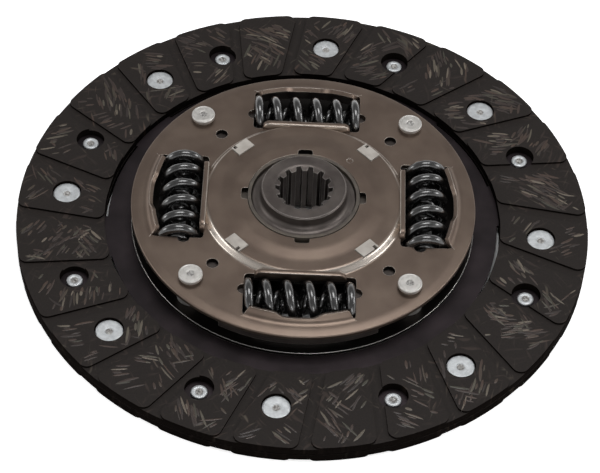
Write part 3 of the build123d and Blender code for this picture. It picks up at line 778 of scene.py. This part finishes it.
# %% The profiles of a facing rivet and of a stop pin
def rivet_profile():
    """A facing rivet from the middle of its rolled tail round to the middle of its head."""
    low, top = rivet_low[2], rivet_high[2]
    head_low = top - 0.9
    seat = front_low[2] - 0.7
    return rounded_profile([
        (0.0, low + 0.75, 0), (0.85, low + 0.72, 0.1), (1.35, low + 0.15, 0.25),
        (2.0, low, 0.35), (2.85, low + 0.2, 0.4), (2.8, seat, 0.1), (2.3, seat, 0.02),
        (2.3, head_low, 0.02), (4.75, head_low, 0.12), (4.75, top - 0.12, 0.2),
        (4.3, top, 0.3), (1.5, top, 0.15), (1.2, top - 0.42, 0.1), (0.8, top - 0.3, 0.1),
        (0.45, top - 0.6, 0.1), (0.0, top - 0.55, 0),
    ])


def pin_profile():
    """A stop pin from its riveted tail up to its head, with a mark in the head's middle."""
    low, top = pin_low[2], pin_high[2] + 0.6
    foot = cover_top
    return rounded_profile([
        (0.0, low, 0), (3.75, low, 0.3), (4.15, low + 0.5, 0.3), (3.85, low + 1.6, 0.1),
        (3.0, low + 1.6, 0.02), (3.0, rear_plate_top, 0.02), (4.75, rear_plate_top, 0.1),
        (4.75, cover_low, 0.1), (3.0, cover_low, 0.02), (3.0, foot, 0.02), (3.1, foot, 0.05),
        (3.1, top - 1.7, 0.2), (4.15, top - 1.4, 0.2), (4.15, top - 0.3, 0.12), (3.9, top, 0.15),
        (3.6, top, 0.1), (3.4, top - 0.1, 0.1), (3.2, top, 0.1),
        (1.45, top, 0.1), (1.25, top - 0.3, 0.1), (0.8, top - 0.24, 0.1),
        (0.4, top - 0.6, 0.1), (0.0, top - 0.6, 0),
    ])


# %% Turn the rivets and pins, and set them in their holes
def set_around(profile, radius, count, phase, sides=40):
    """Copies of a turned profile on a circle about the disc's axis."""
    points, faces = lathe(profile, sides)
    flat = points.reshape(-1, 3) + np.array([radius, 0, 0])
    return [(turned(flat, phase + 360.0 * k / count), faces) for k in range(count)]


def shade_head_middles(piece, circle, count, phase, reach):
    """Gives the faces within a reach of each copy's axis the darker metal, painted shade in the
    head's dimple.
    """
    centres = face_centres(piece.data)[0]
    shaded_middle = distance_to_copies(centres, circle, count, phase) < reach
    piece.data.materials.append(head_middle_shade)
    piece.data.polygons.foreach_set("material_index", shaded_middle.astype(np.int32))


# reach of the painted shade in the middle of each head
RIVET_MARK = 1.25
PIN_MARK = 1.3
turned_over = rivet_profile() * [1, -1] + [0, 2 * MID_PLANE]
for side, profile, phase in (
    ("front", rivet_profile(), FRONT_RIVET_PHASE), ("rear", turned_over, REAR_RIVET_PHASE),
):
    copies = set_around(profile, RIVET_CIRCLE, RIVETS, phase)
    rivets = new_piece(f"{side}_rivets", *repeated(copies))
    settle(rivets, rivet_zinc, "disc", "rivet", f"{side}_facing_rivets")
    shade_head_middles(rivets, RIVET_CIRCLE, RIVETS, phase, RIVET_MARK)
pins = set_around(pin_profile(), pin_circle, WINDOWS, PIN_PHASE, 56)
for place, (points, faces) in enumerate(pins):
    pin = new_piece(f"turned_stop_pin_{place + 1}", points, faces)
    settle(pin, pin_bare, "disc", "pin", f"stop_pin_{place + 1}")
    shade_head_middles(pin, pin_circle, WINDOWS, PIN_PHASE, PIN_MARK)

# %% [markdown]
# ## Facings
# A facing is yarn soaked in resin, wound in loops that sweep between the rim and the bore,
# pressed, cured and ground flat. Grinding cuts the yarn open, so short curved strands show
# as paler streaks in two crossing directions. The colour and fine bump come from noise that
# is stretched along those directions. The boldest strands are real geometry.

# %% The friction material
def facing_material(name, over):
    """Friction material of wound yarn. For the rear facing the pattern is turned over."""
    material, tree, shader = new_material(name, Metallic=0.0, IOR=1.5)
    where = add_node(tree, "TexCoord").outputs["Object"]
    flat = add_node(tree, "VectorMath", {0: where, 1: (1 / MM, 1 / MM, 0.0)}, operation="MULTIPLY")
    split = add_node(tree, "SeparateXYZ", {0: flat}).outputs
    radius = add_node(tree, "VectorMath", {0: flat}, operation="LENGTH").outputs["Value"]
    angle = add_node(tree, "Math", {0: split["Y"], 1: split["X"]}, operation="ARCTAN2")
    if over:
        mirror = math.radians(2 * NECK_PHASE)
        angle = add_node(tree, "Math", {0: mirror, 1: angle}, operation="SUBTRACT")
    # a groove at radius r has turned by asin(GROOVE_REACH / r), and pads lie between grooves
    far = add_node(tree, "Math", {0: radius, 1: GROOVE_REACH + 1}, operation="MAXIMUM")
    ratio = add_node(tree, "Math", {0: GROOVE_REACH, 1: far}, operation="DIVIDE")
    lean = add_node(tree, "Math", {0: ratio}, operation="ARCSINE")
    unleaned = add_node(tree, "Math", {0: angle, 1: lean}, operation="SUBTRACT")
    turn = add_node(tree, "Math", {0: unleaned, 1: GROOVE_START}, operation="SUBTRACT")
    pads = add_node(tree, "Math", {0: turn, 1: PAD_STEP}, operation="DIVIDE")
    pad = add_node(tree, "Math", {0: pads}, operation="FLOOR")
    # each pad takes its pattern from another place
    chance = add_node(tree, "TexWhiteNoise", {"W": pad}, noise_dimensions="1D").outputs["Color"]
    out = add_node(tree, "Math", {0: radius, 1: GROOVE_RADIUS}, operation="SUBTRACT")
    around = add_node(tree, "Math", {0: angle, 1: GROOVE_RADIUS}, operation="MULTIPLY")
    spot = add_node(tree, "CombineXYZ", {0: around, 1: out})
    spot = add_node(
        tree, "VectorMath", {0: chance, 1: (400.0, 400.0, 400.0), 2: spot}, operation="MULTIPLY_ADD"
    )
    sway_mm, tint_mm, clump_mm, grit_mm = 16.0, 6.0, 11.0, 0.7
    sway = add_node(
        tree, "TexNoise", {"Scale": 1 / sway_mm, "Detail": 1.0, "Vector": spot}
    ).outputs["Color"]
    bent = add_node(
        tree, "VectorMath", {0: sway, 1: (9.0, 9.0, 0.0), 2: spot}, operation="MULTIPLY_ADD"
    )

    def strands(direction_deg, width_mm, length_mm, low, high):
        """Streaks along one direction, where stretched noise rises over a threshold."""
        run = add_node(
            tree, "Mapping", {"Scale": (length_mm, width_mm, 1.0), "Vector": bent},
            vector_type="TEXTURE",
        )
        connect(run, {"Rotation": (0, 0, math.radians(direction_deg))})
        noise = add_node(
            tree, "TexNoise", {"Scale": 1.0, "Detail": 1.5, "Roughness": 0.4, "Vector": run}
        )
        return add_node(
            tree, "MapRange", {"From Min": low, "From Max": high, "Value": noise},
            interpolation_type="SMOOTHSTEP",
        )

    clumps = add_node(tree, "TexNoise", {"Scale": 1 / clump_mm, "Detail": 2.0, "Vector": spot})
    patch = add_node(tree, "MapRange", {"From Min": 0.38, "From Max": 0.6, "Value": clumps})
    layers = []
    for one, other in (
        ((50, 1.6, 11, 0.67, 0.78), (-42, 1.6, 10, 0.67, 0.78)),
        ((38, 1.3, 8, 0.6, 0.74), (-55, 1.3, 8, 0.6, 0.74)),
    ):
        both = add_node(tree, "Math", {0: strands(*one), 1: strands(*other)}, operation="MAXIMUM")
        layers.append(add_node(tree, "Math", {0: both, 1: patch}, operation="MULTIPLY"))
    bold, fine = layers
    grit = add_node(
        tree, "TexNoise", {"Scale": 1 / grit_mm, "Detail": 3.0, "Roughness": 0.65, "Vector": flat}
    )
    tint = add_node(tree, "TexNoise", {"Scale": 1 / tint_mm, "Detail": 0.0, "Vector": bent})
    yarn = add_node(
        tree, "Mix", {0: tint, 6: linear("#5c4740"), 7: linear("#4b4c42")}, data_type="RGBA"
    ).outputs[2]
    normal = add_node(tree, "NewGeometry").outputs["Normal"]
    height = add_node(tree, "SeparateXYZ", {0: normal}).outputs["Z"]
    level = add_node(tree, "Math", {0: height}, operation="ABSOLUTE")
    upright = add_node(tree, "Math", {0: 1.0, 1: level}, operation="SUBTRACT")
    rim = add_node(tree, "Math", {0: upright, 1: 0.75}, operation="MULTIPLY")
    # resin and grit, then faint strands, bold strands, and darker upright walls over them
    colour = linear("#151110")
    for share, over_it in (
        (grit, linear("#2b2420")), (fine, linear("#382f2b")), (bold, yarn),
        (rim, linear("#0f0d0c")),
    ):
        colour = add_node(
            tree, "Mix", {0: share, 6: colour, 7: over_it}, data_type="RGBA"
        ).outputs[2]
    bumps = bold
    for part, weight in ((fine, 0.5), (grit, 0.7)):
        bumps = add_node(tree, "Math", {0: part, 1: weight, 2: bumps}, operation="MULTIPLY_ADD")
    relief = add_node(tree, "Bump", {"Strength": 0.55, "Distance": 0.12 * MM, "Height": bumps})
    gloss = add_node(tree, "MapRange", {"To Min": 0.62, "To Max": 0.42, "Value": bold})
    shine = add_node(tree, "Math", {0: level, 1: 0.24}, operation="MULTIPLY")
    connect(shader, {
        "Base Color": colour, "Normal": relief, "Roughness": gloss, "Specular IOR Level": shine,
    })
    return material


front_friction = facing_material("wound_yarn_facing", False)
rear_friction = facing_material("wound_yarn_facing_turned_over", True)
smooth_copy("front_lining", "front_facing", front_friction, "facing")
smooth_copy("rear_lining", "rear_facing", rear_friction, "facing")

# %% [markdown]
# A strand that grinding has cut open lies in the face like a flat ribbon with a low crown.
# Its line is an arc: it starts at a random place on a pad, in one of the two winding
# directions, and turns slowly. A strand that would cross a groove, a hole or the rim is
# left out, so the rest lie where the yarn can be.

# %% Strands of yarn in a face
CLEAR_OF_HOLES = 0.35
CLEAR_OF_RIMS = 1.2
STRAND_CROWN = 0.09
STRAND_SUNK = 0.02


def on_pads(points):
    """Which points of the front face lie on a pad, clear of grooves, holes and edges."""
    radius = np.hypot(points[..., 0], points[..., 1])
    angle = np.arctan2(points[..., 1], points[..., 0])
    lean = np.arcsin(np.minimum(GROOVE_REACH / np.maximum(radius, GROOVE_REACH), 1))
    offset = (angle - lean - GROOVE_START + PAD_STEP / 2) % PAD_STEP - PAD_STEP / 2
    good = np.abs(offset * radius) > GROOVE_WIDTH / 2 + CLEAR_OF_HOLES
    good &= (radius > FACING_INNER + CLEAR_OF_RIMS) & (radius < FACING_OUTER - CLEAR_OF_RIMS)
    for phase in (FRONT_RIVET_PHASE, REAR_RIVET_PHASE):
        for k in range(RIVETS):
            at = math.radians(phase + 360.0 * k / RIVETS)
            away = np.hypot(
                points[..., 0] - RIVET_CIRCLE * math.cos(at),
                points[..., 1] - RIVET_CIRCLE * math.sin(at),
            )
            good &= away > COUNTERBORE + CLEAR_OF_HOLES
    return good


def strand_points(count, seed):
    """Ribbons of three points across, for a given number of tries, on the plane Z = 0.

    The heading of a strand after a length s is h + k * s, where h is one of the winding's two
    directions and k is a random small bend. Which direction it is, and by how much it sways,
    are slow waves over the face, so strands that lie close together are almost parallel.
    """
    chance = np.random.default_rng(seed)
    groups = count // 4
    radius = np.repeat(chance.uniform(FACING_INNER + 2, FACING_OUTER - 2, groups), 4)
    angle = np.repeat(chance.uniform(0, 2 * np.pi, groups), 4)
    middle_x, middle_y = radius * np.cos(angle), radius * np.sin(angle)
    wave = np.sin(middle_x / 7.0 + 1.3) + np.cos(middle_y / 6.5 + 0.4)
    wave += np.sin((middle_x + middle_y) / 9.0)
    sway = 45 + 22 * np.sin(middle_x / 9.0) * np.cos(middle_y / 10.0)
    heading = angle + np.where(wave < 0, -1.0, 1.0) * np.radians(sway)
    bend = np.repeat(chance.normal(0, 0.03, groups), 4) + chance.normal(0, 0.01, 4 * groups)
    heading = heading + chance.normal(0, 0.06, 4 * groups)
    length = chance.uniform(2.2, 8.5, 4 * groups)
    width = chance.uniform(0.3, 0.62, 4 * groups)
    shift = np.tile([-2.3, -0.8, 0.8, 2.3], groups) + chance.normal(0, 0.35, 4 * groups)
    slide = chance.normal(0, 1.8, 4 * groups)
    steps = np.linspace(0, 1, 9)
    run = length[:, None] * steps
    way = heading[:, None] + bend[:, None] * run
    step = length[:, None] / (len(steps) - 1)
    start_x = radius * np.cos(angle) - shift * np.sin(heading) + slide * np.cos(heading)
    start_y = radius * np.sin(angle) + shift * np.cos(heading) + slide * np.sin(heading)
    x = start_x[:, None] + np.cumsum(np.cos(way), axis=1) * step
    y = start_y[:, None] + np.cumsum(np.sin(way), axis=1) * step
    line = np.stack([x, y, 0 * x], axis=-1)
    keep = on_pads(line).all(axis=1)
    taper = np.sqrt(np.clip(1 - (2 * steps - 1) ** 2, 0, 1)) + 0.02
    across = np.stack([-np.sin(way), np.cos(way), 0 * way], axis=-1)
    edge = across * (width[:, None] * taper)[..., None]
    crown = np.zeros_like(line)
    crown[..., 2] = STRAND_CROWN * taper
    sunk = np.array([0, 0, -STRAND_SUNK])
    ribbons = np.stack([line - edge + sunk, line + crown, line + edge + sunk], axis=2)
    return ribbons[keep]


def yarn_piece(name, material, count, seed, over):
    """The strands of one facing, on its ground face."""
    ribbons = strand_points(count, seed)
    one = grid_quads(ribbons.shape[1], ribbons.shape[2])
    points, faces = repeated([(ribbon, one) for ribbon in ribbons])
    points = points + np.array([0, 0, FRONT_FACE])
    if over:
        unturned = turned(points, -NECK_PHASE)
        flipped = unturned * [1, -1, -1] + [0, 0, 2 * MID_PLANE]
        points = turned(flipped, NECK_PHASE)
    piece = new_piece(name, points, faces, 60.0)
    settle(piece, material, "disc", "facing")


# %% [markdown]
# The strands are glass and cotton yarn with a little metal wire. Under a studio lamp they
# read as tan, pink-grey and green-grey, each strand by itself, so the tone comes from the
# random number that every loose island of the mesh has.

# %% The yarn's finish and both sets of strands
def yarn_material():
    """Cut yarn in resin: tan to grey, a little glossier than the ground around it."""
    material, tree, shader = new_material("cut_yarn", Metallic=0.0, IOR=1.5, Roughness=0.38)
    island = add_node(tree, "NewGeometry").outputs["Random Per Island"]
    ramp = add_node(tree, "ValToRGB", {"Fac": island})
    stops = ramp.color_ramp.elements
    stops[0].position, stops[0].color = 0.0, linear("#2a221f")
    stops[1].position, stops[1].color = 0.985, linear("#72685c")
    for position, colour in ((0.4, "#392d28"), (0.65, "#48382f"), (0.85, "#3e3c32")):
        stops.new(position).color = linear(colour)
    connect(shader, {"Base Color": ramp})
    return material


YARN_TRIES = 2400
yarn = yarn_material()
yarn_piece("front_yarn", yarn, YARN_TRIES, 11, False)
yarn_piece("rear_yarn", yarn, YARN_TRIES, 23, True)

# %% [markdown]
# ## Floor, lamps and camera
# The disc lies on a pale table in a white studio. A wide softbox hangs above and behind it,
# which draws the bands on the springs and leaves the near walls of the holes dark. Three weaker
# lamps fill the front and the sides. The world is white to the camera. In reflections it
# fades from white at the horizon to a dim ceiling, so that flat metal keeps its own tone.

# %% The floor and the world
def pale_floor():
    """A wide pale floor under the disc, white to the camera apart from the disc's shadow."""
    half = 6.0
    corners = np.array([[-half, -half, 0], [half, -half, 0], [half, half, 0], [-half, half, 0]])
    mesh = bpy.data.meshes.new("studio_floor")
    mesh.from_pydata((corners - [0, 0, 0.0002]).tolist(), [], [[0, 1, 2, 3]])
    floor = bpy.data.objects.new("studio_floor", mesh)
    scene.collection.objects.link(floor)
    material, tree, shader = new_material(
        "white_table", Base_Color=linear("#f4f4f4"), Roughness=0.9, Specular_IOR_Level=0.1
    )
    mesh.materials.append(material)
    return tree, shader


def camera_or_glossy(tree):
    """A light path's sockets, and whether a ray is the camera's or a reflection."""
    rays = add_node(tree, "LightPath").outputs
    seen = add_node(
        tree, "Math", {0: rays["Is Camera Ray"], 1: rays["Is Glossy Ray"]}, operation="MAXIMUM"
    )
    return rays, seen


# the table glows from just inside the disc's rim outwards, so the disc hides where it stops
FLOOR_GLOW = 0.75
GLOW_STARTS, GLOW_FULL = 0.085, 0.1
floor_tree, floor_shader = pale_floor()
seen = camera_or_glossy(floor_tree)[1]
spot = add_node(floor_tree, "TexCoord").outputs["Object"]
away = add_node(floor_tree, "VectorMath", {0: spot}, operation="LENGTH").outputs["Value"]
outside = add_node(
    floor_tree, "MapRange",
    {"From Min": GLOW_STARTS, "From Max": GLOW_FULL, "To Max": FLOOR_GLOW, "Value": away},
)
glow = add_node(floor_tree, "Math", {0: seen, 1: outside}, operation="MULTIPLY")
connect(floor_shader, {"Emission Color": linear("#ffffff"), "Emission Strength": glow})

SKY_LIGHT = 0.22
CEILING = 0.3
world = bpy.data.worlds.new("white_studio")
scene.world = world
world.use_nodes = True
sky = world.node_tree
rays, seen = camera_or_glossy(sky)
seen = add_node(sky, "Math", {0: seen, 1: rays["Is Transmission Ray"]}, operation="MAXIMUM")
way = add_node(sky, "NewGeometry").outputs["Incoming"]
rise = add_node(sky, "SeparateXYZ", {0: way}).outputs["Z"]
drop = add_node(
    sky, "MapRange",
    {"From Min": -0.15, "From Max": -0.5, "To Min": 1.0, "To Max": CEILING, "Value": rise},
)
shown = add_node(sky, "Math", {0: drop, 1: rays["Is Camera Ray"]}, operation="MAXIMUM")
strength = add_node(sky, "MapRange", {"To Min": SKY_LIGHT, "To Max": shown, "Value": seen})
connect(sky.nodes["Background"], {"Color": linear("#ffffff"), "Strength": strength})

# %% Softboxes
def pose(right, over, back, place):
    """A matrix that stands an object at a place, with its three axes along the given ones."""
    columns = np.eye(4)
    for number, column in enumerate((right, over, back, place)):
        columns[:3, number] = column
    return Matrix(columns.tolist())


def softbox(name, place, width, depth, watts):
    """A rectangular lamp that looks from its place, in metres, to the disc's middle."""
    lamp = bpy.data.lights.new(name, "AREA")
    lamp.shape = "RECTANGLE"
    lamp.size, lamp.size_y, lamp.energy = width, depth, watts
    holder = bpy.data.objects.new(name, lamp)
    away = np.array(place) / np.linalg.norm(place)
    side = np.cross([0, 1, 0], away)
    side /= np.linalg.norm(side)
    over = np.cross(away, side)
    scene.collection.objects.link(holder)
    holder.matrix_world = pose(side, over, away, place)


softbox("overhead_softbox", (0.1, 0.12, 0.95), 0.5, 0.4, 3.4)
softbox("front_softbox", (0.15, -0.85, 0.42), 0.45, 0.2, 1.1)
softbox("left_softbox", (-0.9, 0.0, 0.5), 0.22, 0.5, 1.5)
softbox("right_softbox", (0.9, 0.0, 0.55), 0.22, 0.5, 2.2)

# %% [markdown]
# The camera's place was worked out from the photograph: the 16 facing rivets and four stop
# pins lie on known circles, and one pinhole camera puts all of them where the picture shows
# them. It is a long lens with a slight roll.

# %% The camera
CAMERA_PLACE = np.array([-2.74, -534.20, 617.79])
CAMERA_AIM = np.array([-0.67, -9.29, 6.20])
CAMERA_ROLL = 2.68
LENS = 138.88
SENSOR_WIDTH = 36.0
camera_data = bpy.data.cameras.new("camera")
camera_data.lens = LENS
camera_data.sensor_width = SENSOR_WIDTH
camera_data.sensor_fit = "HORIZONTAL"
camera_data.clip_start, camera_data.clip_end = 0.01, 20.0
forward = CAMERA_AIM - CAMERA_PLACE
forward /= np.linalg.norm(forward)
level = np.cross(forward, [0, 0, 1])
level /= np.linalg.norm(level)
upright = np.cross(level, forward)
roll = math.radians(CAMERA_ROLL)
right = math.cos(roll) * level + math.sin(roll) * upright
over = np.cross(right, forward)
camera = bpy.data.objects.new("camera", camera_data)
scene.collection.objects.link(camera)
camera.matrix_world = pose(right, over, -forward, CAMERA_PLACE * MM)
scene.camera = camera
scene.view_settings.view_transform = "Standard"
print("camera looks along", np.round(forward, 3))
